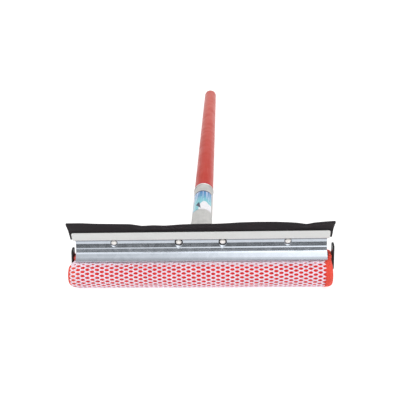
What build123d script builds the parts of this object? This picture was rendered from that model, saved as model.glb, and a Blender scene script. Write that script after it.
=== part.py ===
from build123d import *

import os
from math import asin, atan2, cos, hypot, radians, sin, tan

# A windscreen and window squeegee: a red wooden handle in a sheet-metal ferrule, whose two
# ears are riveted to the back of a pressed steel head. The head grips a rubber blade above
# and a net-covered foam roll below. It lies as on a table, on the roll and the handle's
# free end. +X runs along the blade, +Y along the handle away from the head, +Z is up, and
# the origin is on the table under the middle of the whole tool. All lengths are in mm.

os.makedirs("parts", exist_ok=True)

# Handle and ferrule. Distances along the handle are counted from the head plane.
AXIS_HEIGHT = 40.0
HANDLE_RADIUS = 11.0
HANDLE_END = 575.0
DOME_LENGTH = 8.0
SPIGOT_RADIUS = 9.95
SPIGOT_LENGTH = 55.0
SPIGOT_LEAD = 2.0
SHOULDER_GAP = 0.2
SHOULDER_CHAMFER = 1.4
FERRULE_BORE = 10.0
FERRULE_RADIUS = 10.9
MOUTH = 122.0
RIM_RADIUS = 0.7
FLARE_LENGTH = 44.0
FLARE_WIDTH = 31.0
EAR_SPAN = 62.0
EAR_HEIGHT = 17.0
EAR_SHEET = 1.2
LABEL_START = 58.0
LABEL_END = 103.0
LABEL_LEFT = 22.0
LABEL_TURN = 128.0
LABEL_THICKNESS = 0.15

# Nails through the underside of the ferrule into the wood.
NAIL_STATIONS = (84.0, 104.0)
NAIL_RADIUS = 0.9
NAIL_HEAD_RADIUS = 2.1
NAIL_HEAD_HEIGHT = 0.8
NAIL_HEAD_TAPER = 18
NAIL_DEPTH = 8.0
NAIL_GAP = 0.5

# The head's sheets lie one behind the other on the head plane: front jaw, the blade
# channel's leg, rear jaw and then the ferrule's ears.
SHEET = 0.9
JAW_LENGTH = 240.0
LIP_HEIGHT = 30.3

# The front jaw's outer face, (back, up), and the radius of the bend at each inner point:
# a flat flange that leans out below the rivets, a narrow ledge, a short wall, and a
# shoulder that curves down to the lip, which turns back a little under itself.
FRONT_JAW_LINE = (
    (0, 49.8),
    (0, 45.3),
    (-1.55, 41.2),
    (-2.6, 40.35),
    (-3.65, 37.35),
    (-4.9, 36.6),
    (-8.3, 33.2),
    (-9.9, 31.1),
    (-9.75, LIP_HEIGHT),
)
FRONT_JAW_BENDS = (3.0, 0.4, 0.4, 0.5, 4.0, 8.0, 1.4)

# The rear jaw's outer face is set back a little at its lip.
REAR_JAW_LINE = (
    (2.7, 57.0),
    (2.7, 34.0),
    (4.9, 32.4),
    (4.9, LIP_HEIGHT),
)
REAR_JAW_BENDS = (1.4, 1.4)

# Blade channel and rubber.
CHANNEL_LENGTH = 243.0
CHANNEL_BOTTOM = 50.4
CHANNEL_TOP = 59.4
CHANNEL_CORNER = 2.0
CHANNEL_BEND = 1.1
LEG_BOTTOM = 38.6
RUBBER_LENGTH = 247.0
RUBBER_THICKNESS = 2.6
RUBBER_FOOT_GAP = 0.3
RUBBER_BEND = 60.3
RUBBER_BEND_RADIUS = 6.0
RUBBER_TOP = 70.5
RUBBER_LEAN = 2.8
RUBBER_TIP = 2.2
RUBBER_TIP_DROP = 0.4

# Rivets, each in a round seat with a sloping rim and a shallow pressed ring around its head.
RIVET_HEIGHT = 45.9
INNER_PLACES = (-20.2, 21.8)
OUTER_PLACES = (-82.7, 83.5)
SHANK_RADIUS = 2.1
HEAD_RADIUS = 2.8
HEAD_HEIGHT = 1.3
TAIL_RADIUS = 3.2
TAIL_HEIGHT = 1.2
TAIL_EDGE = 0.6
INNER_SEAT_RADIUS = 3.7
OUTER_SEAT_RADIUS = 3.2
SEAT_SLOPE = 38
SEAT_REACH = 3.2
SEAT_BACKING = 1.2
SEAT_RING_DEPTH = 0.4

# Foam roll and net. The roll is a flattened round, and its neck goes up between the lips.
ROLL_FRONT = 22.0
ROLL_RADIUS = 14.6
ROLL_FLAT = 8.4
NECK_FRONT = -8.0
NECK_REAR = 3.8
NECK_TOP = 31.6
NECK_CORNER = 0.8
HEM_TOP = 30.8
NET_THICKNESS = 0.7
FOAM_LEFT = -128.2
FOAM_RIGHT = 124.8
NET_LEFT = -125.6
NET_RIGHT = 118.4

# End caps: a leaning tab on a flat tongue that is pushed in between the jaws. The two sit
# differently: (reach along the blade, the tab's middle height, lean in degrees).
LEFT_CAP_FIT = (-123.8, 27.2, 8.0)
RIGHT_CAP_FIT = (125.2, 29.8, 4.0)
TAB_HEIGHT = 30.0
TAB_WIDTH = 8.0
TAB_THICKNESS = 1.8
TAB_BACK = -2.6
TAB_EDGE = 0.5
TONGUE_WIDTH = 5.0
TONGUE_THICKNESS = 1.4
TONGUE_LENGTH = 14.0
TONGUE_HEIGHT = 32.6
NOTCH_CLEARANCE = 0.4
NOTCH_DEPTH = 12.0

# The handle sinks towards its end until it touches the table.
STRAIGHT_END = HANDLE_END - DOME_LENGTH
TILT = asin(AXIS_HEIGHT / hypot(STRAIGHT_END, HANDLE_RADIUS)) - atan2(HANDLE_RADIUS, STRAIGHT_END)
HEAD_Y = -(HANDLE_END * cos(TILT) - ROLL_FRONT) / 2

ORIGIN = Vector(0, HEAD_Y, AXIS_HEIGHT)
ALONG = Vector(0, cos(TILT), -sin(TILT))
ABOVE = Vector(0, sin(TILT), cos(TILT))

# HEAD is the head's cross-section, (back, up). WALL faces back, (left, up). TUBE looks
# along the handle, and HALF holds a turned profile, (radius, distance along the handle).
HEAD = Plane(origin=(0, HEAD_Y, 0), x_dir=(0, 1, 0), z_dir=(1, 0, 0))
WALL = Plane(origin=(0, HEAD_Y, 0), x_dir=(-1, 0, 0), z_dir=(0, 1, 0))
TUBE = Plane(origin=ORIGIN, x_dir=(-1, 0, 0), z_dir=ALONG)
HALF = Plane(origin=ORIGIN, x_dir=(1, 0, 0), z_dir=ABOVE)
HANDLE_AXIS = Axis(ORIGIN, ALONG)

SEATS = ((INNER_PLACES, INNER_SEAT_RADIUS), (OUTER_PLACES, OUTER_SEAT_RADIUS))
SEAT_SPREAD = SEAT_REACH * tan(radians(SEAT_SLOPE))
EAR_FRONT = 3 * SHEET
EAR_BACK = EAR_FRONT + EAR_SHEET
CHANNEL_FRONT = -(RUBBER_THICKNESS + SHEET)


def nail_plane(station):
    """The plane on the handle's axis that faces out of the ferrule's underside."""
    return Plane(origin=ORIGIN + ALONG * station, x_dir=(1, 0, 0), z_dir=-ABOVE)


def sheet_section(points, radii, side):
    """The cross-section of one bent sheet, from the line of its outer face."""
    with BuildSketch(HEAD) as section:
        with BuildLine():
            FilletPolyline(*points, radius=radii)
            offset(amount=SHEET, side=side)
        make_face()
    return section.sketch


def rivet_circles(places, radius, depth=0):
    """Circles on the head plane or behind it, at the given places along the head."""
    with BuildSketch(WALL.offset(depth)) as circles:
        with Locations([(-x, RIVET_HEIGHT) for x in places]):
            Circle(radius)
    return circles.sketch


def rivets(places, tail_start):
    """A pair of domed rivets, each with its head on the flange and a flattened tail behind."""
    with BuildPart() as pair:
        for x in places:
            half = Plane(origin=(x, HEAD_Y, RIVET_HEIGHT), x_dir=(1, 0, 0), z_dir=(0, 0, 1))
            with BuildSketch(half):
                with BuildLine():
                    Polyline(
                        (0, -HEAD_HEIGHT),
                        (0, tail_start + TAIL_HEIGHT),
                        (TAIL_RADIUS - TAIL_EDGE, tail_start + TAIL_HEIGHT),
                        (TAIL_RADIUS, tail_start + TAIL_HEIGHT - TAIL_EDGE),
                        (TAIL_RADIUS, tail_start),
                        (SHANK_RADIUS, tail_start),
                        (SHANK_RADIUS, 0),
                        (HEAD_RADIUS, 0),
                    )
                    EllipticalCenterArc((0, 0), HEAD_RADIUS, HEAD_HEIGHT, -90, arc_size=90)
                make_face()
            revolve(axis=Axis((x, HEAD_Y, RIVET_HEIGHT), (0, 1, 0)))
    return pair


def roll_section(inset, neck_top):
    """The roll and its neck, seen from the end, at a depth under the net's outer face."""
    neck_front = NECK_FRONT + inset
    neck_rear = NECK_REAR - inset
    with BuildSketch(HEAD) as section:
        with Locations((-ROLL_FRONT + ROLL_RADIUS + ROLL_FLAT / 2, ROLL_RADIUS)):
            SlotCenterToCenter(ROLL_FLAT, 2 * (ROLL_RADIUS - inset))
        with Locations(((neck_front + neck_rear) / 2, (ROLL_RADIUS + neck_top) / 2)):
            Rectangle(neck_rear - neck_front, neck_top - ROLL_RADIUS)
    return section.sketch


def tab_plane(reach, middle, lean):
    """The inner face of a tab, which leans outwards at the foot, where the foam pushes it."""
    out = 1 if reach > 0 else -1
    outward = Vector(out, 0, 0).rotate(Axis.Y, -out * lean)
    return Plane(origin=(reach, HEAD_Y + TAB_BACK, middle), x_dir=(0, 1, 0), z_dir=outward)


def end_cap(reach, middle, lean):
    """One end cap: its tab and the tongue behind it."""
    out = 1 if reach > 0 else -1
    root = Plane(origin=(reach, HEAD_Y + TAB_BACK, TONGUE_HEIGHT), x_dir=(0, 1, 0), z_dir=(-out, 0, 0))
    with BuildPart() as cap:
        with BuildSketch(tab_plane(reach, middle, lean)):
            SlotOverall(TAB_HEIGHT, TAB_WIDTH, rotation=90)
        extrude(amount=TAB_THICKNESS)
        fillet(cap.faces().sort_by(Axis.X)[-1 if out > 0 else 0].edges(), radius=TAB_EDGE)
        with BuildSketch(root.offset(-TAB_THICKNESS / 2)):
            Rectangle(TONGUE_WIDTH, TONGUE_THICKNESS)
        extrude(amount=TONGUE_LENGTH)
    return cap


def notch_section(reach, middle, lean):
    """The outline that a tab presses into the end of the foam."""
    with BuildSketch(tab_plane(reach, middle, lean).offset(-NOTCH_CLEARANCE)) as notch:
        SlotOverall(TAB_HEIGHT + 2 * NOTCH_CLEARANCE, TAB_WIDTH + 2 * NOTCH_CLEARANCE, rotation=90)
    return notch.sketch


# Handle: a turned dowel with a domed end, and a thinner spigot inside the ferrule.
with BuildPart() as handle:
    with BuildSketch(HALF):
        with BuildLine():
            FilletPolyline(
                (0, MOUTH - SPIGOT_LENGTH),
                (SPIGOT_RADIUS - SPIGOT_LEAD / 2, MOUTH - SPIGOT_LENGTH),
                (SPIGOT_RADIUS, MOUTH - SPIGOT_LENGTH + SPIGOT_LEAD),
                (SPIGOT_RADIUS, MOUTH + SHOULDER_GAP),
                (HANDLE_RADIUS - SHOULDER_CHAMFER / 3, MOUTH + SHOULDER_GAP),
                (HANDLE_RADIUS, MOUTH + SHOULDER_GAP + SHOULDER_CHAMFER),
                (HANDLE_RADIUS, HANDLE_END),
                (0, HANDLE_END),
                radius=(0, 0, 0, 0, 0, 0, DOME_LENGTH, 0),
                close=True,
            )
        make_face()
    revolve(axis=HANDLE_AXIS)
    for station in NAIL_STATIONS:
        with BuildSketch(nail_plane(station).offset(SPIGOT_RADIUS - NAIL_DEPTH)):
            Circle(NAIL_RADIUS)
        extrude(amount=NAIL_DEPTH + NAIL_GAP, mode=Mode.SUBTRACT)
handle.part.label = "handle"
export_step(handle.part, "parts/handle.step")

# Ferrule: a rolled tube with a beaded mouth, flared at the head into two flat ears.
with BuildPart() as ferrule:
    with BuildSketch(HALF):
        with Locations(((FERRULE_BORE + FERRULE_RADIUS) / 2, (FLARE_LENGTH + MOUTH) / 2)):
            Rectangle(FERRULE_RADIUS - FERRULE_BORE, MOUTH - FLARE_LENGTH)
        with Locations((FERRULE_RADIUS + RIM_RADIUS / 8, MOUTH - RIM_RADIUS)):
            Circle(RIM_RADIUS)
    revolve(axis=HANDLE_AXIS)
    with BuildSketch(TUBE.offset(FLARE_LENGTH)):
        Circle(FERRULE_RADIUS)
    with BuildSketch(WALL.offset(EAR_FRONT)):
        with Locations((0, RIVET_HEIGHT)):
            SlotOverall(FLARE_WIDTH, EAR_HEIGHT)
    loft()
    with BuildSketch(WALL.offset(EAR_FRONT)):
        with Locations((0, RIVET_HEIGHT)):
            SlotOverall(EAR_SPAN, EAR_HEIGHT)
    extrude(amount=EAR_SHEET)
    with BuildSketch(TUBE.offset(FLARE_LENGTH)):
        Circle(FERRULE_BORE)
    with BuildSketch(WALL.offset(EAR_FRONT)):
        with Locations((0, RIVET_HEIGHT)):
            SlotOverall(FLARE_WIDTH - 2 * SHEET, EAR_HEIGHT - 2 * SHEET)
    loft(mode=Mode.SUBTRACT)
    extrude(rivet_circles(INNER_PLACES, SHANK_RADIUS), amount=EAR_BACK, mode=Mode.SUBTRACT)
    for station in NAIL_STATIONS:
        with BuildSketch(nail_plane(station).offset(SPIGOT_RADIUS)):
            Circle(NAIL_RADIUS)
        extrude(amount=NAIL_DEPTH, mode=Mode.SUBTRACT)
ferrule.part.label = "ferrule"
export_step(ferrule.part, "parts/ferrule.step")

# Label: a thin sticker round the top of the ferrule.
with BuildPart() as label:
    with BuildSketch(TUBE.offset(LABEL_START)):
        with BuildLine():
            inner = CenterArc((0, 0), FERRULE_RADIUS, LABEL_LEFT, LABEL_TURN)
            outer = CenterArc((0, 0), FERRULE_RADIUS + LABEL_THICKNESS, LABEL_LEFT, LABEL_TURN)
            Line(inner @ 0, outer @ 0)
            Line(inner @ 1, outer @ 1)
        make_face()
    extrude(amount=LABEL_END - LABEL_START)
label.part.label = "label"
export_step(label.part, "parts/label.step")

# Two short nails hold the wood in the ferrule.
with BuildPart() as ferrule_nails:
    for station in NAIL_STATIONS:
        with BuildSketch(nail_plane(station).offset(SPIGOT_RADIUS - NAIL_DEPTH + NAIL_GAP)):
            Circle(NAIL_RADIUS)
        extrude(amount=FERRULE_RADIUS - SPIGOT_RADIUS + NAIL_DEPTH - NAIL_GAP)
        with BuildSketch(nail_plane(station).offset(FERRULE_RADIUS)):
            Circle(NAIL_HEAD_RADIUS)
        extrude(amount=NAIL_HEAD_HEIGHT, taper=NAIL_HEAD_TAPER)
ferrule_nails.part.label = "ferrule_nails"
export_step(ferrule_nails.part, "parts/ferrule_nails.step")

# Front jaw. Round each rivet the leaning part of its flange is pressed into a round seat.
with BuildPart() as seat_blanks:
    for places, seat_radius in SEATS:
        blanks = rivet_circles(places, seat_radius + SEAT_SPREAD + SEAT_BACKING, -SEAT_REACH)
        extrude(blanks, amount=SEAT_REACH, taper=SEAT_SLOPE)
        extrude(rivet_circles(places, seat_radius + SEAT_BACKING), amount=SHEET)
    with BuildSketch(HEAD):
        with BuildLine():
            outer = FilletPolyline(*FRONT_JAW_LINE, radius=FRONT_JAW_BENDS)
            Polyline(outer @ 1, (SHEET, LIP_HEIGHT), (SHEET, FRONT_JAW_LINE[0][1]), outer @ 0)
        make_face()
    extrude(amount=JAW_LENGTH / 2, both=True, mode=Mode.INTERSECT)
with BuildPart() as front_jaw:
    profile = sheet_section(FRONT_JAW_LINE, FRONT_JAW_BENDS, Side.LEFT)
    extrude(profile, amount=JAW_LENGTH / 2, both=True)
    add(seat_blanks.part)
    for places, seat_radius in SEATS:
        seats = rivet_circles(places, seat_radius + SEAT_SPREAD, -SEAT_REACH)
        extrude(seats, amount=SEAT_REACH, taper=SEAT_SLOPE, mode=Mode.SUBTRACT)
        ring = rivet_circles(places, seat_radius) - rivet_circles(places, HEAD_RADIUS)
        extrude(ring, amount=SEAT_RING_DEPTH, mode=Mode.SUBTRACT)
        extrude(rivet_circles(places, SHANK_RADIUS), amount=SHEET, mode=Mode.SUBTRACT)
front_jaw.part.label = "front_jaw"
export_step(front_jaw.part, "parts/front_jaw.step")

# Rear jaw: a plain plate.
with BuildPart() as rear_jaw:
    profile = sheet_section(REAR_JAW_LINE, REAR_JAW_BENDS, Side.RIGHT)
    extrude(profile, amount=JAW_LENGTH / 2, both=True)
    extrude(rivet_circles(INNER_PLACES + OUTER_PLACES, SHANK_RADIUS), amount=EAR_BACK, mode=Mode.SUBTRACT)
rear_jaw.part.label = "rear_jaw"
export_step(rear_jaw.part, "parts/rear_jaw.step")

# Blade channel: one folded strip. Its trough holds the rubber, and behind the trough it
# is hemmed over into a leg that the jaws clamp.
CHANNEL_LINE = (
    (CHANNEL_FRONT, CHANNEL_TOP),
    (CHANNEL_FRONT, CHANNEL_BOTTOM),
    (SHEET, CHANNEL_BOTTOM),
    (SHEET, CHANNEL_TOP),
)
with BuildPart() as blade_channel:
    profile = sheet_section(CHANNEL_LINE, (CHANNEL_BEND, CHANNEL_BEND), Side.LEFT)
    extrude(profile, amount=CHANNEL_LENGTH / 2, both=True)
    with BuildSketch(WALL.offset(CHANNEL_FRONT)) as outline:
        with Locations((0, (CHANNEL_BOTTOM + CHANNEL_TOP) / 2)):
            Rectangle(CHANNEL_LENGTH, CHANNEL_TOP - CHANNEL_BOTTOM)
        fillet(outline.vertices().group_by(Axis.Z)[0], radius=CHANNEL_CORNER)
    extrude(amount=SHEET - CHANNEL_FRONT, mode=Mode.INTERSECT)
    with BuildSketch(HEAD):
        with Locations((1.5 * SHEET, (LEG_BOTTOM + CHANNEL_TOP) / 2)):
            Rectangle(SHEET, CHANNEL_TOP - LEG_BOTTOM)
        with Locations((SHEET, CHANNEL_TOP)):
            Circle(SHEET)
    extrude(amount=JAW_LENGTH / 2, both=True)
    extrude(rivet_circles(INNER_PLACES + OUTER_PLACES, SHANK_RADIUS), amount=EAR_BACK, mode=Mode.SUBTRACT)
blade_channel.part.label = "blade_channel"
export_step(blade_channel.part, "parts/blade_channel.step")

# Rubber blade: upright in its channel, then leaning a little forwards.
rubber_foot = CHANNEL_BOTTOM + SHEET + RUBBER_FOOT_GAP
with BuildPart() as rubber_blade:
    with BuildSketch(HEAD):
        with BuildLine():
            FilletPolyline(
                (-RUBBER_THICKNESS, rubber_foot),
                (-RUBBER_THICKNESS, RUBBER_BEND),
                (-RUBBER_THICKNESS - RUBBER_LEAN, RUBBER_TOP - RUBBER_TIP_DROP),
                (RUBBER_TIP - RUBBER_THICKNESS - RUBBER_LEAN, RUBBER_TOP),
                (0, RUBBER_BEND),
                (0, rubber_foot),
                radius=(0, RUBBER_BEND_RADIUS, 0, 0, RUBBER_BEND_RADIUS, 0),
                close=True,
            )
        make_face()
    extrude(amount=RUBBER_LENGTH / 2, both=True)
rubber_blade.part.label = "rubber_blade"
export_step(rubber_blade.part, "parts/rubber_blade.step")

# Rivets: the inner pair also holds the ferrule's ears, so its shanks are longer.
inner_rivets = rivets(INNER_PLACES, EAR_BACK)
inner_rivets.part.label = "inner_rivets"
export_step(inner_rivets.part, "parts/inner_rivets.step")
outer_rivets = rivets(OUTER_PLACES, EAR_FRONT)
outer_rivets.part.label = "outer_rivets"
export_step(outer_rivets.part, "parts/outer_rivets.step")

# End caps.
end_cap_left = end_cap(*LEFT_CAP_FIT)
end_cap_left.part.label = "end_cap_left"
export_step(end_cap_left.part, "parts/end_cap_left.step")
end_cap_right = end_cap(*RIGHT_CAP_FIT)
end_cap_right.part.label = "end_cap_right"
export_step(end_cap_right.part, "parts/end_cap_right.step")

# Foam roll: its ends are pressed in by the leaning tabs.
with BuildPart() as sponge_core:
    for reach in (FOAM_LEFT, FOAM_RIGHT):
        extrude(roll_section(NET_THICKNESS, NECK_TOP), amount=reach)
    fillet(sponge_core.faces().sort_by(Axis.Z)[-1].edges().filter_by(Axis.X), radius=NECK_CORNER)
    for fit in (LEFT_CAP_FIT, RIGHT_CAP_FIT):
        extrude(notch_section(*fit), amount=NOTCH_DEPTH, mode=Mode.SUBTRACT)
sponge_core.part.label = "sponge_core"
export_step(sponge_core.part, "parts/sponge_core.step")

# Net: a thin cover round the roll, whose two hems go up between the lips.
with BuildPart() as net_cover:
    for reach in (NET_LEFT, NET_RIGHT):
        extrude(roll_section(0, HEM_TOP), amount=reach)
        extrude(roll_section(NET_THICKNESS, HEM_TOP), amount=reach, mode=Mode.SUBTRACT)
net_cover.part.label = "net_cover"
export_step(net_cover.part, "parts/net_cover.step")
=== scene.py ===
import math

import bpy
import numpy as np
from mathutils import Matrix, Vector


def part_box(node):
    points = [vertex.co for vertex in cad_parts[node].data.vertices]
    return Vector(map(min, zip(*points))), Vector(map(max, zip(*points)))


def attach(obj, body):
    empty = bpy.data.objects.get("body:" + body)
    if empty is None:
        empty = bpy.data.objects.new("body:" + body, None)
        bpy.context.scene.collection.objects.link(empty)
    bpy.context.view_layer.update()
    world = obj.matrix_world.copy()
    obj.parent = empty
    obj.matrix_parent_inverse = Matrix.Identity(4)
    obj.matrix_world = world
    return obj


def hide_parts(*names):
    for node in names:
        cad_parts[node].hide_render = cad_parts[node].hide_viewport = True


# The looks of a windscreen and window squeegee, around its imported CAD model. All lengths
# are in metres. +X runs along the blade, +Y along the handle away from the head, +Z is up.

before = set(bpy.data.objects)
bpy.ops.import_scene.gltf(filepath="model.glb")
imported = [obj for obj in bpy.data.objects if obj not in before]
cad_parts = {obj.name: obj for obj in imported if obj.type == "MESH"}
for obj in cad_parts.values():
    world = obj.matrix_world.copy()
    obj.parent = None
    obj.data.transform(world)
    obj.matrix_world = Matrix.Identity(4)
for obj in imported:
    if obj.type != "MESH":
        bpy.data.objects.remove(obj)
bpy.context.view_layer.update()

# Where the head and the handle are: the CAD boxes give the head, and the rest repeats the part.
SHEET = 0.0009
HEAD_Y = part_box("front_jaw")[1].y - SHEET
JAW_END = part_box("front_jaw")[1].x
AXIS_HEIGHT = 0.040
TILT = math.radians(2.9332)
HANDLE_END = 0.575
HANDLE_RADIUS = 0.0110
ORIGIN = Vector((0, HEAD_Y, AXIS_HEIGHT))
ALONG = Vector((0, math.cos(TILT), -math.sin(TILT)))
ABOVE = Vector((0, math.sin(TILT), math.cos(TILT)))
MOUTH = 0.122
INNER_PLACES = (-0.0202, 0.0218)
OUTER_PLACES = (-0.0827, 0.0835)
RIVET_HEIGHT = 0.0459

# Roll: a flattened round with a neck between the jaws. Its y places are from the head plane.
ROLL_RADIUS = 0.0146
ROLL_FRONT_CENTRE = -0.0074
ROLL_REAR_CENTRE = 0.0010
NECK_FRONT = -0.0080
NECK_REAR = 0.0038
HEM_TOP = 0.0308
LEFT_LIFT = 0.0032
FOAM_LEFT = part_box("sponge_core")[0].x
FOAM_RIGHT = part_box("sponge_core")[1].x
NET_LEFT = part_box("net_cover")[0].x
NET_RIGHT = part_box("net_cover")[1].x
NET_THICKNESS = 0.0007
FOAM_INSET = 0.00074
END_ROUNDING = 0.0072
RIGHT_ROUNDING = END_ROUNDING * 0.7
LEFT_END_DROP = 0.0064
RIGHT_END_DROP = 0.0024
SURFACE_SINK = 0.00025
REST_GAP = 0.00002
HOLD_START = 0.1190
CAP_HOLD_LEFT = -0.1236
CAP_HOLD_RIGHT = 0.1247
LEFT_HOLD = (0.0265, 0.0300)
RIGHT_HOLD = (0.0150, 0.0240)
NET_PITCH = 0.00915
NET_ROW = 0.0020


def smooth(value, start, end):
    """0 before start, 1 after end, and a soft step between them."""
    t = np.clip((value - start) / (end - start), 0, 1)
    return t * t * (3 - 2 * t)


# ---------------------------------------------------------------- materials

class Look:
    """One procedural material, built node by node on its Principled shader."""

    def __init__(self, name):
        self.material = bpy.data.materials.new(name)
        self.material.use_nodes = True
        self.tree = self.material.node_tree
        self.shader = self.tree.nodes["Principled BSDF"]
        self.point = self.node("ShaderNodeTexCoord", output="Object")

    def put(self, socket, value):
        if isinstance(value, bpy.types.NodeSocket):
            self.tree.links.new(value, socket)
        elif value is not None:
            socket.default_value = (*value, 1.0) if socket.type == "RGBA" else value

    def node(self, kind, inputs=None, output=0, **settings):
        made = self.tree.nodes.new(kind)
        for key, value in settings.items():
            setattr(made, key, value)
        for key, value in (inputs or {}).items():
            self.put(made.inputs[key], value)
        return made.outputs[output]

    def math(self, operation, a, b=None):
        return self.node("ShaderNodeMath", {0: a, 1: b}, operation=operation)

    def from_axis(self):
        """The object's coordinates, from the place where the handle's axis meets the head."""
        inputs = {0: self.point, 1: tuple(-ORIGIN)}
        return self.node("ShaderNodeVectorMath", inputs, operation="ADD")

    def dot(self, vector, direction):
        inputs = {0: vector, 1: tuple(direction)}
        return self.node("ShaderNodeVectorMath", inputs, "Value", operation="DOT_PRODUCT")

    def stretched(self, scale):
        """The object's coordinates, stretched by one factor for each axis."""
        return self.node("ShaderNodeMapping", {"Vector": self.point, "Scale": scale})

    def noise(self, scale, detail=3.0, roughness=0.5, vector=None, distortion=0.0):
        inputs = {"Vector": vector or self.point, "Scale": scale, "Detail": detail}
        inputs.update({"Roughness": roughness, "Distortion": distortion})
        return self.node("ShaderNodeTexNoise", inputs)

    def cells(self, scale, vector=None, output="Distance"):
        inputs = {"Vector": vector or self.point, "Scale": scale}
        return self.node("ShaderNodeTexVoronoi", inputs, output)

    def step(self, value, start, end, low=0.0, high=1.0):
        """A soft step from low at start to high at end."""
        inputs = {"Value": value, "From Min": start, "From Max": end, "To Min": low, "To Max": high}
        return self.node("ShaderNodeMapRange", inputs, interpolation_type="SMOOTHSTEP")

    def mix(self, factor, a, b):
        return self.node("ShaderNodeMix", {0: factor, 6: a, 7: b}, 2, data_type="RGBA")

    def bump(self, height, distance, strength=1.0, normal=None):
        inputs = {"Height": height, "Distance": distance, "Strength": strength, "Normal": normal}
        return self.node("ShaderNodeBump", inputs)

    def finish(self, **inputs):
        for key, value in inputs.items():
            self.put(self.shader.inputs[key.replace("_", " ")], value)
        return self.material


def painted_wood():
    look = Look("painted_wood")
    place = look.from_axis()
    station = look.dot(place, ALONG)
    height = look.dot(place, ABOVE)
    streaks = look.noise(1.0, 4.0, 0.6, look.stretched((520, 14, 520)))
    clouds = look.noise(60.0, 2.0)
    # Painted sheen: the red turns paler towards the handle's far end.
    red = look.mix(look.step(station, 0.13, 0.50), (0.438, 0.018, 0.006), (0.52, 0.092, 0.070))
    red = look.mix(look.step(streaks, 0.35, 0.75, 0, 0.40), red, (0.51, 0.068, 0.040))
    red = look.mix(look.step(clouds, 0.45, 0.7, 0, 0.30), red, (0.39, 0.038, 0.022))
    # Deeper colour beside the ferrule, partly thick paint and partly painted shade, and a worn patch on the
    # end.
    red = look.mix(look.step(station, MOUTH + 0.0066, MOUTH + 0.0040), red, (0.44, 0.010, 0.011))
    end = look.step(station, HANDLE_END - 0.0060, HANDLE_END - 0.0015)
    end = look.math("MULTIPLY", end, look.step(height, -0.001, 0.003))
    worn = look.math("MULTIPLY", end, look.step(look.noise(300.0, 3.0), 0.42, 0.55))
    red = look.mix(worn, red, (0.50, 0.19, 0.06))
    grain = look.bump(streaks, 0.00012, 0.6)
    return look.finish(
        Base_Color=red,
        Roughness=look.step(clouds, 0.3, 0.7, 0.34, 0.46),
        Normal=look.bump(clouds, 0.0002, 0.3, grain),
        Coat_Weight=0.05,
        Coat_Roughness=0.25,
        Specular_IOR_Level=0.20,
    )


# Painted shade on the jaw: the rivets' places with each ring's radius and depth, and then soft
# steps up the jaw's height: painted shadow under the channel, and a darker band on the ledge.
SEAT_SHADE_RINGS = ((INNER_PLACES, 0.0039, 1.0), (OUTER_PLACES, 0.0034, 0.75))
CHANNEL_SHADE = (0.0471, 0.0482, 0.0, 0.62)
LEDGE_BAND = (0.0396, 0.0403, 0.0, 0.24)
LEDGE_TOP = (0.0417, 0.0411)


def seat_shade_and_ledge_band(look):
    """Painted shade in the pressed ring round each rivet and under the channel's edge, and a darker band on
    the ledge.
    """
    height = look.dot(look.point, (0, 0, 1))
    # A darker band on the ledge, and painted shadow under the channel's edge.
    ledge = look.math("MULTIPLY", look.step(height, *LEDGE_BAND), look.step(height, *LEDGE_TOP))
    total = look.math("MAXIMUM", look.step(height, *CHANNEL_SHADE), ledge)
    # Painted shade in the pressed ring round each rivet.
    for places, radius, depth in SEAT_SHADE_RINGS:
        for x in places:
            inputs = {0: look.point, 1: (-x, 0, -RIVET_HEIGHT)}
            offset = look.node("ShaderNodeVectorMath", inputs, operation="ADD")
            flat = look.node("ShaderNodeVectorMath", {0: offset, 1: (1, 0, 1)}, operation="MULTIPLY")
            away = look.node("ShaderNodeVectorMath", {0: flat}, "Value", operation="LENGTH")
            total = look.math("MAXIMUM", total, look.step(away, radius + 0.0003, radius - 0.0002, 0, depth))
    return total


def side_shade_and_streaks(look):
    """Painted shade on the ferrule's duller sides, and a few soft streaks along the rolled ferrule."""
    turn = look.math("ARCTAN2", look.dot(look.point, (1, 0, 0)), look.dot(look.from_axis(), ABOVE))
    streaks = look.noise(1.0, 2.0, 0.5, look.stretched((330, 26, 60)))
    # Painted shade: the sides of the round ferrule turn darker.
    sides = look.step(look.math("ABSOLUTE", turn), 0.60, 1.15, 0, 0.45)
    return look.math("MAXIMUM", sides, look.step(streaks, 0.50, 0.68, 0, 0.14))


def sheet_metal(name, base, dark, roughness, spangle, brushed, shade_and_marks=None, shade_and_mark_colour=(0.035, 0.035, 0.038),
                rim_tint=1.0):
    """Rolled and coated sheet: crystals of slightly different greys, and rolling lines."""
    look = Look(name)
    crystals = look.cells(spangle, output="Color")
    crystal = look.node("ShaderNodeSeparateColor", {0: crystals})
    lines = look.noise(1.0, 3.0, 0.6, look.stretched((6, brushed, brushed)))
    tone = look.math("ADD", look.math("MULTIPLY", crystal, 0.3), look.math("MULTIPLY", lines, 0.7))
    smudge = look.noise(60.0, 3.0, 0.5)
    rough = look.math("ADD", look.step(tone, 0.2, 0.8, roughness * 0.85, roughness * 1.2),
                      look.step(smudge, 0.5, 0.8, 0, 0.08))
    colour = look.mix(look.step(tone, 0.15, 0.85), dark, base)
    # The given mask mixes in painted shade, along with darker marks such as streaks.
    if shade_and_marks:
        colour = look.mix(shade_and_marks(look), colour, shade_and_mark_colour)
    return look.finish(
        Base_Color=colour,
        Metallic=1.0,
        Roughness=rough,
        Specular_Tint=(rim_tint,) * 3,
        Normal=look.bump(lines, 0.00002, 0.4, look.bump(smudge, 0.00010, 0.15)),
    )


# Label: places round the ferrule and along the handle's axis.
ARCH_CENTRE = (0.0028, 0.0580)
ARCH_HALF = (0.0064, 0.0184)
TRIANGLE = ((-0.0076, 0.0702), (-0.0034, 0.0758), (-0.0008, 0.0592))


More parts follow.
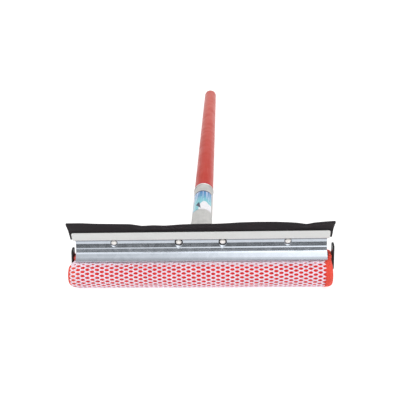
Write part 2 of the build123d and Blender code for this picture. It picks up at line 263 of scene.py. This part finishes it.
def label_print():
    look = Look("label_vinyl")
    place = look.from_axis()
    station = look.dot(place, ALONG)
    height = look.dot(place, ABOVE)
    side = look.dot(look.point, (1, 0, 0))
    turn = look.math("ARCTAN2", side, height)
    streaks = look.node("ShaderNodeCombineXYZ", {0: look.math("MULTIPLY", turn, 3.2),
                                                 1: look.math("MULTIPLY", station, 9.0)})
    streak = look.noise(1.6, 2.0, 0.5, streaks)
    blue = look.mix(look.step(station, 0.076, 0.098), (0.17, 0.50, 0.56), (0.030, 0.19, 0.43))
    pale = look.math("MULTIPLY", look.step(streak, 0.50, 0.60), look.step(station, 0.074, 0.088, 0.25, 1.0))
    blue = look.mix(pale, blue, (0.50, 0.58, 0.76))
    # Painted sheen: the print fades to a pale lavender grey on the left side.
    blue = look.mix(look.step(turn, -0.80, -1.10), blue, (0.40, 0.44, 0.55))
    # A white arch in the lower part, open to the right, and a plain dark triangle beside it.
    across = look.math("MULTIPLY", turn, HANDLE_RADIUS)
    side_step = look.math("DIVIDE", look.math("SUBTRACT", across, ARCH_CENTRE[0]), ARCH_HALF[0])
    along_step = look.math("DIVIDE", look.math("SUBTRACT", station, ARCH_CENTRE[1]), ARCH_HALF[1])
    reach = look.math("ADD", look.math("MULTIPLY", side_step, side_step),
                      look.math("MULTIPLY", along_step, along_step))
    foot = look.math("MULTIPLY", look.step(across, 0.0035, 0.0048), look.step(station, 0.0735, 0.0710))
    white = look.math("MAXIMUM", look.step(reach, 1.06, 0.94), foot)
    print_colour = look.mix(white, blue, (0.76, 0.75, 0.78))
    triangle = None
    for (x0, y0), (x1, y1) in zip(TRIANGLE, TRIANGLE[1:] + TRIANGLE[:1]):
        length = math.hypot(x1 - x0, y1 - y0)
        inward = look.math("ADD", look.math("MULTIPLY", across, (y1 - y0) / length),
                           look.math("MULTIPLY", station, (x0 - x1) / length))
        inward = look.math("SUBTRACT", inward, (x0 * (y1 - y0) + y0 * (x0 - x1)) / length)
        edge = look.step(inward, -0.0001, 0.0004)
        triangle = edge if triangle is None else look.math("MULTIPLY", triangle, edge)
    print_colour = look.mix(triangle, print_colour, (0.018, 0.022, 0.065))
    print_colour = look.mix(look.step(station, 0.1000, 0.1016), print_colour, (0.02, 0.03, 0.09))
    return look.finish(
        Base_Color=print_colour,
        Roughness=look.step(look.noise(400.0, 3.0), 0.3, 0.7, 0.25, 0.38),
        Normal=look.bump(look.noise(250.0, 2.0), 0.0001, 0.4),
        Coat_Weight=0.3,
        Coat_Roughness=0.15,
    )


def black_rubber():
    look = Look("black_rubber")
    grain = look.noise(2600.0, 3.0, 0.6)
    streaks = look.noise(1.0, 4.0, 0.6, look.stretched((14, 260, 420)))
    bloom = look.step(streaks, 0.42, 0.75)
    return look.finish(
        Base_Color=look.mix(bloom, (0.011, 0.009, 0.011), (0.023, 0.016, 0.021)),
        Roughness=look.step(streaks, 0.3, 0.7, 0.55, 0.70),
        Normal=look.bump(grain, 0.00006, 0.7, look.bump(streaks, 0.0001, 0.4)),
        Specular_IOR_Level=0.25,
    )


def black_plastic():
    look = Look("black_plastic")
    grain = look.noise(1500.0, 3.0, 0.6)
    wear = look.step(look.noise(260.0, 4.0, 0.7), 0.55, 0.72)
    return look.finish(
        Base_Color=look.mix(wear, (0.006, 0.006, 0.007), (0.020, 0.020, 0.022)),
        Roughness=look.step(grain, 0.3, 0.7, 0.30, 0.44),
        Normal=look.bump(grain, 0.00005, 0.6),
        Specular_IOR_Level=0.4,
    )


def red_foam():
    look = Look("red_foam")
    pores = look.cells(1500.0, look.node(
        "ShaderNodeVectorMath",
        {0: look.point, 1: look.node("ShaderNodeTexNoise", {"Scale": 900.0}, "Color"), 2: (0.0003,) * 3},
        operation="MULTIPLY_ADD",
    ))
    fine = look.noise(3200.0, 4.0, 0.7)
    broad = look.noise(120.0, 3.0)
    # Painted light: the bare foam ends past the net are a lighter coral.
    lit_bare_ends = look.step(look.math("ABSOLUTE", look.dot(look.point, (1, 0, 0))), 0.1165, 0.1185)
    red = look.mix(look.step(broad, 0.35, 0.65), (0.89, 0.028, 0.032), (0.95, 0.042, 0.040))
    red = look.mix(lit_bare_ends, red, (1.0, 0.095, 0.058))
    # Painted shade: darker red down in the pores.
    red = look.mix(look.step(pores, 0.55, 0.15, 0, 0.30), red, (0.34, 0.004, 0.006))
    height = look.math("ADD", look.step(pores, 0.1, 0.6), look.math("MULTIPLY", fine, 0.3))
    return look.finish(
        Base_Color=red,
        Roughness=look.step(fine, 0.3, 0.7, 0.75, 0.95),
        Normal=look.bump(height, 0.00025, 0.7),
        Subsurface_Weight=0.10,
        Subsurface_Radius=(0.002, 0.0006, 0.0004),
        Subsurface_Scale=1.0,
        Sheen_Weight=0.15,
        Specular_IOR_Level=0.25,
    )


def white_net():
    look = Look("white_net")
    threads = look.noise(1.0, 2.0, 0.5, look.stretched((1500, 2600, 2600)), 0.6)
    twist = look.node("ShaderNodeTexWave", {"Vector": look.point, "Scale": 900.0, "Distortion": 3.0,
                                            "Detail": 2.0}, bands_direction="DIAGONAL")
    broad = look.noise(70.0, 3.0)
    white = look.mix(look.step(broad, 0.35, 0.7), (0.938, 0.745, 0.852), (0.955, 0.795, 0.892))
    white = look.mix(look.step(threads, 0.5, 0.3, 0, 0.5), white, (0.94, 0.70, 0.86))
    height = look.math("ADD", look.math("MULTIPLY", twist, 0.6), threads)
    return look.finish(
        Base_Color=white,
        Roughness=look.step(threads, 0.3, 0.7, 0.55, 0.75),
        Normal=look.bump(height, 0.00008, 0.6),
        Subsurface_Weight=0.08,
        Subsurface_Radius=(0.0012, 0.0008, 0.0008),
        Subsurface_Scale=1.0,
        Sheen_Weight=0.2,
    )


def stage_paper():
    look = Look("pale_floor")
    tone = look.noise(6.0, 2.0)
    paper = look.mix(look.step(tone, 0.3, 0.7), (0.33, 0.33, 0.33), (0.35, 0.35, 0.35))
    return look.finish(
        Base_Color=paper,
        Roughness=look.step(tone, 0.3, 0.7, 0.85, 0.95),
        Emission_Color=(1.0, 1.0, 1.0),
        Emission_Strength=0.84,
        Specular_IOR_Level=0.1,
    )


# The ferrule's sides get painted shade, and soft streaks.
ZINC = sheet_metal("zinc_sheet", (0.83, 0.82, 0.80), (0.74, 0.74, 0.72), 0.42, 260.0, 700.0,
                   side_shade_and_streaks, (0.52, 0.52, 0.51), 0.5)
# The jaws get painted shade round the rivets and under the channel.
GALVANISED = sheet_metal("galvanised_sheet", (0.535, 0.577, 0.635), (0.475, 0.515, 0.570), 0.20, 200.0,
                         900.0, seat_shade_and_ledge_band)
SATIN = sheet_metal("satin_strip", (0.685, 0.695, 0.685), (0.63, 0.64, 0.63), 0.45, 500.0, 1200.0)
RIVET = sheet_metal("rivet_metal", (0.98, 0.97, 0.94), (0.92, 0.90, 0.87), 0.45, 1600.0, 900.0)
STEEL = sheet_metal("nail_steel", (0.62, 0.62, 0.63), (0.45, 0.45, 0.46), 0.30, 1800.0, 900.0)
PLASTIC = black_plastic()
RUBBER = black_rubber()
FOAM = red_foam()
NET = white_net()

CAD_LOOKS = {
    "handle": painted_wood(),
    "ferrule": ZINC,
    "label": label_print(),
    "ferrule_nails": STEEL,
    "front_jaw": GALVANISED,
    "rear_jaw": GALVANISED,
    "blade_channel": SATIN,
    "inner_rivets": RIVET,
    "outer_rivets": RIVET,
    "end_cap_left": PLASTIC,
    "end_cap_right": PLASTIC,
}
for node, look in CAD_LOOKS.items():
    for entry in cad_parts[node].material_slots:
        entry.material = look


# ---------------------------------------------------------------- pieces

def piece(name, vertices, faces, look, slot, *replaced):
    """A smooth mesh piece in the row frame, which rides on the only body."""
    mesh = bpy.data.meshes.new(name)
    mesh.from_pydata([tuple(map(float, v)) for v in vertices], [], [tuple(map(int, f)) for f in faces])
    mesh.materials.append(look)
    mesh.validate()
    mesh.shade_smooth()
    made = bpy.data.objects.new(name, mesh)
    bpy.context.scene.collection.objects.link(made)
    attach(made, "root")
    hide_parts(*replaced)
    return made


def tube_faces(rings, around):
    """Quads between closed rings of points, one ring after another."""
    faces = []
    for i in range(rings - 1):
        for j in range(around):
            k = (j + 1) % around
            faces.append((i * around + j, i * around + k, (i + 1) * around + k, (i + 1) * around + j))
    return faces


# Rubber: the free edge waves to and fro, so it leans further forwards in places.
RUBBER_FOOT = 0.0516
RUBBER_BEND = 0.0600
RUBBER_FREE = 0.0103
RUBBER_THICK = 0.0026
RUBBER_TIP = 0.0021
RUBBER_HALF = 0.1235
RUBBER_FLARE = 0.0012
RUBBER_STATIONS = 191
TIP_CROWN = 0.00022
BEND_GAIN = 1.2
BEND_RATE = 2.9
RUBBER_LEANS = (
    (-0.1235, 13), (-0.110, 13), (-0.095, 19), (-0.063, 24), (-0.052, 35), (-0.042, 32), (-0.031, 35),
    (-0.015, 29), (0.005, 27), (0.014, 28), (0.024, 26), (0.038, 21), (0.053, 19), (0.070, 20),
    (0.082, 24), (0.090, 28), (0.0975, 36), (0.104, 28), (0.113, 23), (0.1235, 19),
)


def rubber_blade():
    xs = np.linspace(-RUBBER_HALF, RUBBER_HALF, RUBBER_STATIONS)
    places, leans = zip(*RUBBER_LEANS)
    fine = np.linspace(places[0], places[-1], 1201)
    raw = np.interp(fine, places, leans)
    kernel = np.hanning(41)
    padded = np.pad(raw, 20, mode="edge")
    lean = np.radians(np.interp(xs, fine, np.convolve(padded, kernel / kernel.sum(), "valid")))
    steps = 14
    vertices = []
    for x, angle in zip(xs, lean):
        # The middle line stands straight in the channel and then curves forwards.
        line = [(-RUBBER_THICK / 2, RUBBER_FOOT, 0.0), (-RUBBER_THICK / 2, RUBBER_BEND - 0.002, 0.0)]
        y, z = -RUBBER_THICK / 2, RUBBER_BEND
        line.append((y, z, 0.0))
        for k in range(1, steps + 1):
            t = k / steps
            turn = angle * BEND_GAIN * min(1.0, BEND_RATE * t)
            y -= RUBBER_FREE / steps * math.sin(turn)
            z += RUBBER_FREE / steps * math.cos(turn)
            line.append((y, z, turn))
        count = len(line)
        front, back = [], []
        for k, (y, z, turn) in enumerate(line):
            t = max(0.0, (k - 2) / (count - 3))
            half = (RUBBER_THICK + (RUBBER_TIP - RUBBER_THICK) * t) / 2
            front.append((y - half * math.cos(turn), z - half * math.sin(turn)))
            back.append((y + half * math.cos(turn), z + half * math.sin(turn)))
        # The moulded tip has small rounded corners.
        y, z, turn = line[-1]
        out = (-math.sin(turn), math.cos(turn))
        half = RUBBER_TIP / 2
        tip = []
        for a in (-0.8, 0.0, 0.8):
            tip.append((y + a * half * math.cos(turn) + TIP_CROWN * out[0],
                        z + a * half * math.sin(turn) + TIP_CROWN * out[1]))
        ring = front + tip + back[::-1]
        flare = RUBBER_FLARE / RUBBER_HALF / (RUBBER_BEND + RUBBER_FREE - RUBBER_FOOT)
        vertices += [(x * (1 + flare * (q - RUBBER_FOOT)), HEAD_Y + p, q) for p, q in ring]
    around = len(ring)
    faces = tube_faces(len(xs), around)
    last = (len(xs) - 1) * around
    for k in range(around // 2 - 1):
        cap = (k, around - 1 - k, around - 2 - k, k + 1)
        faces.append(cap)
        faces.append(tuple(last + v for v in reversed(cap)))
    middle = (around // 2 - 1, around // 2 + 1, around // 2)
    faces.append(middle)
    faces.append(tuple(last + v for v in reversed(middle)))
    # The rings run the other way round from the roll's, so the faces are turned outwards.
    faces = [face[::-1] for face in faces]
    return piece("rubber_squeegee_blade", vertices, faces, RUBBER, "black_rubber", "rubber_blade")


# The roll's line is drawn with this many points, and its joins are softened over a few of them.
ARC_POINTS = 120
LINE_POINTS = 1201
SOFTENING = 25


def roll_line():
    """The net's outer line round the roll, from the front hem to the rear hem: y, z, normals."""
    front_top = math.acos((NECK_FRONT - ROLL_FRONT_CENTRE) / ROLL_RADIUS)
    rear_top = math.acos((NECK_REAR - ROLL_REAR_CENTRE) / ROLL_RADIUS)
    points = [(NECK_FRONT, HEM_TOP)]
    arcs = ((ROLL_FRONT_CENTRE, front_top, 1.5 * math.pi), (ROLL_REAR_CENTRE, -0.5 * math.pi, rear_top))
    for centre, start, end in arcs:
        for a in np.linspace(start, end, ARC_POINTS):
            points.append((centre + ROLL_RADIUS * math.cos(a), ROLL_RADIUS + ROLL_RADIUS * math.sin(a)))
    points.append((NECK_REAR, HEM_TOP))
    points = np.array(points)
    lengths = np.concatenate([[0], np.cumsum(np.hypot(*np.diff(points, axis=0).T))])
    places = np.linspace(0, lengths[-1], LINE_POINTS)
    line = np.stack([np.interp(places, lengths, points[:, k]) for k in (0, 1)], 1)
    kernel = np.hanning(SOFTENING)
    kernel /= kernel.sum()
    pad = SOFTENING // 2
    for k in (0, 1):
        ends = 2 * line[0, k] - line[pad:0:-1, k], 2 * line[-1, k] - line[-2:-pad - 2:-1, k]
        line[:, k] = np.convolve(np.concatenate([ends[0], line[:, k], ends[1]]), kernel, "valid")
    along = np.gradient(line, axis=0)
    along /= np.linalg.norm(along, axis=1)[:, None]
    normals = np.stack([along[:, 1], -along[:, 0]], 1)
    return places, line, normals


PLACES, LINE, NORMALS = roll_line()
GIRTH = PLACES[-1]


def end_drop(x):
    """How far the roll's surface has dropped in, where its ends round off."""
    left = np.clip((FOAM_LEFT + END_ROUNDING - x) / END_ROUNDING, 0, 1)
    right = np.clip((x - FOAM_RIGHT + RIGHT_ROUNDING) / RIGHT_ROUNDING, 0, 1)
    return LEFT_END_DROP * (1 - np.sqrt(1 - left ** 2)) + RIGHT_END_DROP * (1 - np.sqrt(1 - right ** 2))


def unevenness(x, v):
    """Slow swells of the hand-fitted roll, none of them where it rests."""
    wave = 0.00022 * np.sin(x / 0.021 + 1.3) + 0.00016 * np.sin(x / 0.0093 + v / 0.011)
    wave = wave + 0.00010 * np.sin(x / 0.0051 - v / 0.006)
    z = np.interp(v, PLACES, LINE[:, 1])
    return wave * smooth(z, 0.002, 0.008) - SURFACE_SINK


def pulled_in(x, z):
    """x where the caps hold back the upper part of the roll's ends, at height z."""
    left = (CAP_HOLD_LEFT - FOAM_LEFT) * smooth(z, *LEFT_HOLD)
    left = left * np.clip((-x - HOLD_START) / (-FOAM_LEFT - HOLD_START), 0, 1)
    right = (FOAM_RIGHT - CAP_HOLD_RIGHT) * smooth(z, *RIGHT_HOLD)
    right = right * np.clip((x - HOLD_START) / (FOAM_RIGHT - HOLD_START), 0, 1)
    return x + left - right


def on_roll(x, v, height):
    """Points on the roll at x and at v along its line, at a height above the net's base line."""
    y = np.interp(v, PLACES, LINE[:, 0])
    z = np.interp(v, PLACES, LINE[:, 1])
    ny = np.interp(v, PLACES, NORMALS[:, 0])
    nz = np.interp(v, PLACES, NORMALS[:, 1])
    out = height + unevenness(x, v) - end_drop(x)
    # The lower left corner is lifted a little off the table.
    z = z + nz * out + LEFT_LIFT * smooth(x, FOAM_LEFT + 0.0120, FOAM_LEFT) * smooth(z, 0.011, 0.002)
    z = np.maximum(z, REST_GAP)
    return np.stack([pulled_in(x, z), HEAD_Y + y + ny * out, z], 1)


def knit_drift(x, v):
    """The net is pulled a little out of true, along and across."""
    dx = 0.0005 * np.sin(v / 0.017 + x / 0.06) + 0.00025 * np.sin(x / 0.013 + v / 0.02)
    dv = 0.0004 * np.sin(x / 0.034 + 0.6) + 0.00018 * np.sin(x / 0.0077)
    return dx, dv


# Net: staggered eye-shaped holes. Each cell is a hexagon of strand round its hole.
HOLE_HALF_WIDTH = 0.00220
HOLE_HALF_HEIGHT = 0.00130
HOLE_POWER = 1.8
NET_FIRST_COLUMN = NET_LEFT + 0.0047
NET_EDGE = -0.1244
NET_FIRST_ROW = 0.0010
HEM_OPEN = 0.32
UNDER_CLOSED = 0.34
MERGE = 0.00002


def net_cell():
    """One cell's outline and hole, in 16 matching points each."""
    corner = (NET_PITCH ** 2 / 4 + NET_ROW ** 2) / NET_PITCH
    shoulder = NET_PITCH / 2 - corner
    quarter = [(corner, 0.0), ((corner + shoulder) / 2, NET_ROW / 2), (shoulder, NET_ROW),
               (shoulder / 2, NET_ROW), (0.0, NET_ROW)]
    outline = quarter + [(-x, v) for x, v in quarter[3::-1]]
    outline += [(x, -v) for x, v in outline[7:0:-1]]
    turns = [0, 30, 52, 70, 90]
    turns += [180 - t for t in turns[3::-1]]
    turns += [-t for t in turns[7:0:-1]]
    hole = []
    for t in np.radians(turns):
        c, s = math.cos(t), math.sin(t)
        hole.append((HOLE_HALF_WIDTH * math.copysign(abs(c) ** (2 / HOLE_POWER), c),
                     HOLE_HALF_HEIGHT * math.copysign(abs(s) ** (2 / HOLE_POWER), s)))
    return np.array(outline), np.array(hole)


def net_cover():
    outline, hole = net_cell()
    around = len(outline)
    half = NET_PITCH / 2
    columns = int((NET_RIGHT - NET_FIRST_COLUMN) / half) + 1
    flat, crown, quads = [], [], []
    for i in range(-1, columns):
        x = NET_FIRST_COLUMN + i * half
        first = NET_FIRST_ROW + (NET_ROW if i % 2 else 0.0)
        rows = int((GIRTH - first) / (2 * NET_ROW)) + 1
        for j in range(rows):
            v = first + 2 * NET_ROW * j
            if v < NET_ROW / 2 or v + NET_ROW > GIRTH:
                continue
            # The end columns are cut through, and the right one raggedly.
            left_cut, right_cut = -1.0, 1.0
            if i == -1:
                left_cut = NET_EDGE - x
            if i == columns - 1:
                right_cut = 0.0002 + 0.0009 * ((j * 7 + 3) % 5) / 4
            # The holes are smaller where the net goes up between the jaws.
            open_share = HEM_OPEN + (1 - HEM_OPEN) * float(smooth(min(v, GIRTH - v), 0.0034, 0.0072))
            # They are smaller underneath, too.
            open_share *= 1 - UNDER_CLOSED * float(smooth(v, 0.027, 0.038) * smooth(v, 0.066, 0.056))
            base = len(flat)
            flat += [(x + a, v + b) for a, b in outline]
            flat += [(x + open_share * a, v + open_share * b) for a, b in hole]
            crown += [1.0] * around + [0.5] * around
            for k in range(around):
                n = (k + 1) % around
                if left_cut < (outline[k, 0] + outline[n, 0]) / 2 < right_cut:
                    quads.append((base + k, base + n, base + around + n, base + around + k))
    flat = np.array(flat)
    # Neighbouring cells share the points of their outlines.
    keys = np.round(flat / MERGE).astype(np.int64)
    _, first_seen, shared = np.unique(keys, axis=0, return_index=True, return_inverse=True)
    shared = shared.reshape(-1)
    flat = flat[first_seen]
    crown = np.array(crown)[first_seen]
    quads = shared[np.array(quads)]
    used = np.unique(quads)
    renumber = np.zeros(len(flat), int)
    renumber[used] = np.arange(len(used))
    flat, crown, quads = flat[used], crown[used], renumber[quads]
    dx, dv = knit_drift(flat[:, 0], flat[:, 1])
    x = flat[:, 0] + dx
    # The drift dies out at the hems.
    dv = dv * smooth(flat[:, 1], 0, 0.004) * smooth(GIRTH - flat[:, 1], 0, 0.004)
    v = np.clip(flat[:, 1] + dv, 0, GIRTH)
    outer = on_roll(x, v, (crown - 1) * NET_THICKNESS)
    inner = on_roll(x, v, np.full(len(x), -NET_THICKNESS))
    count = len(flat)
    faces = [tuple(q[::-1]) for q in quads] + [tuple(count + q) for q in quads]
    # Walls close the holes and the net's own edges, where an edge has a quad on one side only.
    edges = {(a, b): None for q in quads for a, b in zip(q, np.roll(q, -1))}
    faces += [(count + b, count + a, a, b) for a, b in edges if (b, a) not in edges]
    return piece("scrubber_net", np.concatenate([outer, inner]), faces, NET, "white_net", "net_cover")


# Foam: the core, which swells a little through the holes and out past the jaws.
BULGE = 0.00030
BARE_RISE = 0.0005
HEM_GAP = 0.0004
ROUND_POINTS = 150
BODY_STATIONS = 320
END_STATIONS = 8
NECK_POINTS = 26
NECK_SPREAD = 0.18
NECK_SQUARENESS = 0.45
NECK_END_DROP = 0.35
END_RINGS = (0.85, 0.7, 0.55, 0.4, 0.25, 0.1)
END_DOME = 0.0004
NECK_HIDDEN = 0.0314
NECK_SHOWN = 0.0339
TAB_BACK = -0.0026
TAB_HALF_HEIGHT = 0.0150
TAB_HALF_WIDTH = 0.0040
TAB_LEANS = {"end_cap_left": math.radians(8.0), "end_cap_right": math.radians(4.0)}
TAB_THICK = 0.0018
TAB_GAP = 0.0004


def tab_inner(z, cap):
    """The inner face of an end cap's leaning tab, at height z."""
    low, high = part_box(cap)
    lean = TAB_LEANS[cap]
    side = 1 if high.x > 0 else -1
    reach = (high.x if side > 0 else -low.x) - TAB_THICK * math.cos(lean)
    reach -= TAB_HALF_HEIGHT * math.sin(lean)
    return side * (reach + ((low.z + high.z) / 2 - z) * math.tan(lean))


def sponge():
    around_line = np.linspace(HEM_GAP, GIRTH - HEM_GAP, ROUND_POINTS)
    body = np.linspace(FOAM_LEFT + END_ROUNDING, FOAM_RIGHT - END_ROUNDING, BODY_STATIONS)
    turn = np.linspace(0, math.pi / 2, END_STATIONS + 1)[1:]
    left_end = FOAM_LEFT + END_ROUNDING - END_ROUNDING * np.sin(turn)
    right_end = FOAM_RIGHT - END_ROUNDING + END_ROUNDING * np.sin(turn)
    stations = np.concatenate([left_end[::-1], body, right_end])
    vertices = []
    for x in stations:
        xs = np.full(len(around_line), x)
        dx, dv = knit_drift(xs, around_line)
        phase = (xs - dx - NET_FIRST_COLUMN) / NET_PITCH
        row = (around_line - dv - NET_FIRST_ROW) / (2 * NET_ROW)
        hole = np.cos(2 * np.pi * phase) * np.cos(2 * np.pi * row)
        covered = float(NET_LEFT + 0.001 < x < NET_RIGHT - 0.001)
        lift = BULGE * smooth(hole, 0.1, 1.0) * covered + BARE_RISE * (1 - covered)
        inset = np.full(len(around_line), -FOAM_INSET) + lift * smooth(around_line, 0.002, 0.006)
        line = on_roll(xs, around_line, inset)
        drop = float(end_drop(x))
        shown = float(smooth(abs(x), JAW_END + 0.0002, JAW_END + 0.0016))
        top = NECK_HIDDEN + (NECK_SHOWN - NECK_HIDDEN) * shown - NECK_END_DROP * drop
        rear, front = line[-1], line[0]
        middle = (rear[1] + front[1]) / 2
        half = (rear[1] - front[1]) / 2 * (1 + NECK_SPREAD * shown)
        neck = []
        for t in np.linspace(0, math.pi, NECK_POINTS + 2)[1:-1]:
            c, s = math.cos(t), math.sin(t)
            side = math.copysign(abs(c) ** NECK_SQUARENESS, c)
            rise = abs(s) ** NECK_SQUARENESS
            base = rear[2] + (front[2] - rear[2]) * (1 - c) / 2
            height = base + (top - base) * rise
            neck.append((float(pulled_in(x, height)), middle + half * side, height))
        vertices.append(np.concatenate([line, np.array(neck)]))
    rings = len(vertices)
    around = len(vertices[0])
    vertices = np.concatenate(vertices)
    # The end faces close in rings, domed a little outwards.
    faces = tube_faces(rings, around)
    for end, sign in ((0, -1), (rings - 1, 1)):
        ring = vertices[end * around:(end + 1) * around]
        centre = ring.mean(axis=0)
        previous = list(range(end * around, (end + 1) * around))
        for shrink in END_RINGS:
            new = centre + (ring - centre) * shrink
            new[:, 0] = ring[:, 0] + sign * END_DOME * (1 - shrink ** 2)
            start = len(vertices)
            vertices = np.concatenate([vertices, new])
            current = list(range(start, start + around))
            for j in range(around):
                k = (j + 1) % around
                quad = (previous[j], previous[k], current[k], current[j])
                faces.append(quad if sign > 0 else quad[::-1])
            previous = current
        faces.append(tuple(previous) if sign > 0 else tuple(previous[::-1]))
    # The leaning tabs press the ends in.
    for cap, sign in (("end_cap_left", -1), ("end_cap_right", 1)):
        low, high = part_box(cap)
        up = np.abs(vertices[:, 2] - (low.z + high.z) / 2) - (TAB_HALF_HEIGHT - TAB_HALF_WIDTH)
        out = np.hypot(vertices[:, 1] - HEAD_Y - TAB_BACK, np.maximum(up, 0)) - TAB_HALF_WIDTH
        press = 1 - smooth(out, 0.0004, 0.0022)
        limit = tab_inner(vertices[:, 2], cap) - sign * TAB_GAP
        beyond = np.maximum(sign * (vertices[:, 0] - limit), 0)
        vertices[:, 0] -= sign * beyond * press
    vertices[:, 0] = np.clip(vertices[:, 0], FOAM_LEFT, FOAM_RIGHT)
    return piece("foam_roll", vertices, faces, FOAM, "red_foam", "sponge_core")


rubber_blade()
foam = sponge()
net = net_cover()


# ---------------------------------------------------------------- studio

FLOOR_HALF = 9.0
floor_mesh = bpy.data.meshes.new("floor")
floor_mesh.from_pydata(
    [(-FLOOR_HALF, -FLOOR_HALF, 0), (FLOOR_HALF, -FLOOR_HALF, 0), (FLOOR_HALF, FLOOR_HALF, 0),
     (-FLOOR_HALF, FLOOR_HALF, 0)], [], [(0, 1, 2, 3)])
floor_mesh.materials.append(stage_paper())
floor = bpy.data.objects.new("floor", floor_mesh)
bpy.context.scene.collection.objects.link(floor)


def softbox(name, place, target, size, power):
    light = bpy.data.lights.new(name, "AREA")
    light.shape = "RECTANGLE"
    light.size, light.size_y = size
    light.energy = power
    made = bpy.data.objects.new(name, light)
    made.location = place
    made.rotation_euler = (Vector(target) - Vector(place)).to_track_quat("-Z", "Y").to_euler()
    bpy.context.scene.collection.objects.link(made)
    return made


softbox("left_box", (-1.5, -0.2, 0.8), (0, 0, 0.03), (0.9, 1.4), 2)
softbox("right_box", (1.5, -0.1, 0.9), (0, 0, 0.03), (0.9, 1.4), 3)

# The room: dim at the horizon in front, a pale sweep behind, and a ceiling that is brighter
# to the right.
world = bpy.data.worlds.new("studio")
bpy.context.scene.world = world
world.use_nodes = True
tree = world.node_tree


def room_step(value, start, end, low, high):
    made = tree.nodes.new("ShaderNodeMapRange")
    made.interpolation_type = "SMOOTHSTEP"
    tree.links.new(value, made.inputs["Value"])
    for key, number in (("From Min", start), ("From Max", end), ("To Min", low), ("To Max", high)):
        made.inputs[key].default_value = number
    return made.outputs[0]


def room_math(operation, a, b):
    made = tree.nodes.new("ShaderNodeMath")
    made.operation = operation
    tree.links.new(a, made.inputs[0])
    tree.links.new(b, made.inputs[1])
    return made.outputs[0]


toward = tree.nodes.new("ShaderNodeSeparateXYZ")
tree.links.new(tree.nodes.new("ShaderNodeTexCoord").outputs["Generated"], toward.inputs[0])
ceiling = room_math("ADD", room_step(toward.outputs["Z"], 0.06, 0.80, 0.15, 0.80),
                    room_step(toward.outputs["Z"], 0.70, 1.0, 0.0, 0.90))
sweep = room_step(toward.outputs["Y"], -0.05, 0.45, 0.0, 0.75)
glow = room_math("MULTIPLY", room_step(toward.outputs["X"], -0.20, 0.30, 0.0, 1.0),
                 room_step(toward.outputs["Z"], 0.35, 0.80, 0.0, 1.0))
glow = room_math("MULTIPLY", glow, room_step(toward.outputs["Y"], 0.0, 0.30, 1.0, 0.0))
light = room_math("ADD", room_math("MAXIMUM", ceiling, sweep), glow)
tree.links.new(light, tree.nodes["Background"].inputs["Color"])

bpy.context.scene.view_settings.view_transform = "Standard"

# Camera: it looks down on the head from in front, along the handle.
CAMERA_PLACE = Vector((0.0232, HEAD_Y - 0.3820, 0.3076))
CAMERA_YAW = math.radians(-3.2)
CAMERA_PITCH = math.radians(29.44)
CAMERA_ROLL = math.radians(-2.41)
CAMERA_LENS = 43.58
forward = Vector((math.sin(CAMERA_YAW) * math.cos(CAMERA_PITCH),
                  math.cos(CAMERA_YAW) * math.cos(CAMERA_PITCH), -math.sin(CAMERA_PITCH)))
level = Vector((math.cos(CAMERA_YAW), -math.sin(CAMERA_YAW), 0))
raised = level.cross(forward)
right = math.cos(CAMERA_ROLL) * level + math.sin(CAMERA_ROLL) * raised
up = math.cos(CAMERA_ROLL) * raised - math.sin(CAMERA_ROLL) * level
camera_data = bpy.data.cameras.new("camera")
camera_data.sensor_width = 36
camera_data.lens = CAMERA_LENS
camera_data.clip_start = 0.01
camera = bpy.data.objects.new("camera", camera_data)
camera.matrix_world = Matrix.Translation(CAMERA_PLACE) @ Matrix((right, up, -forward)).transposed().to_4x4()
bpy.context.scene.collection.objects.link(camera)
bpy.context.scene.camera = camera
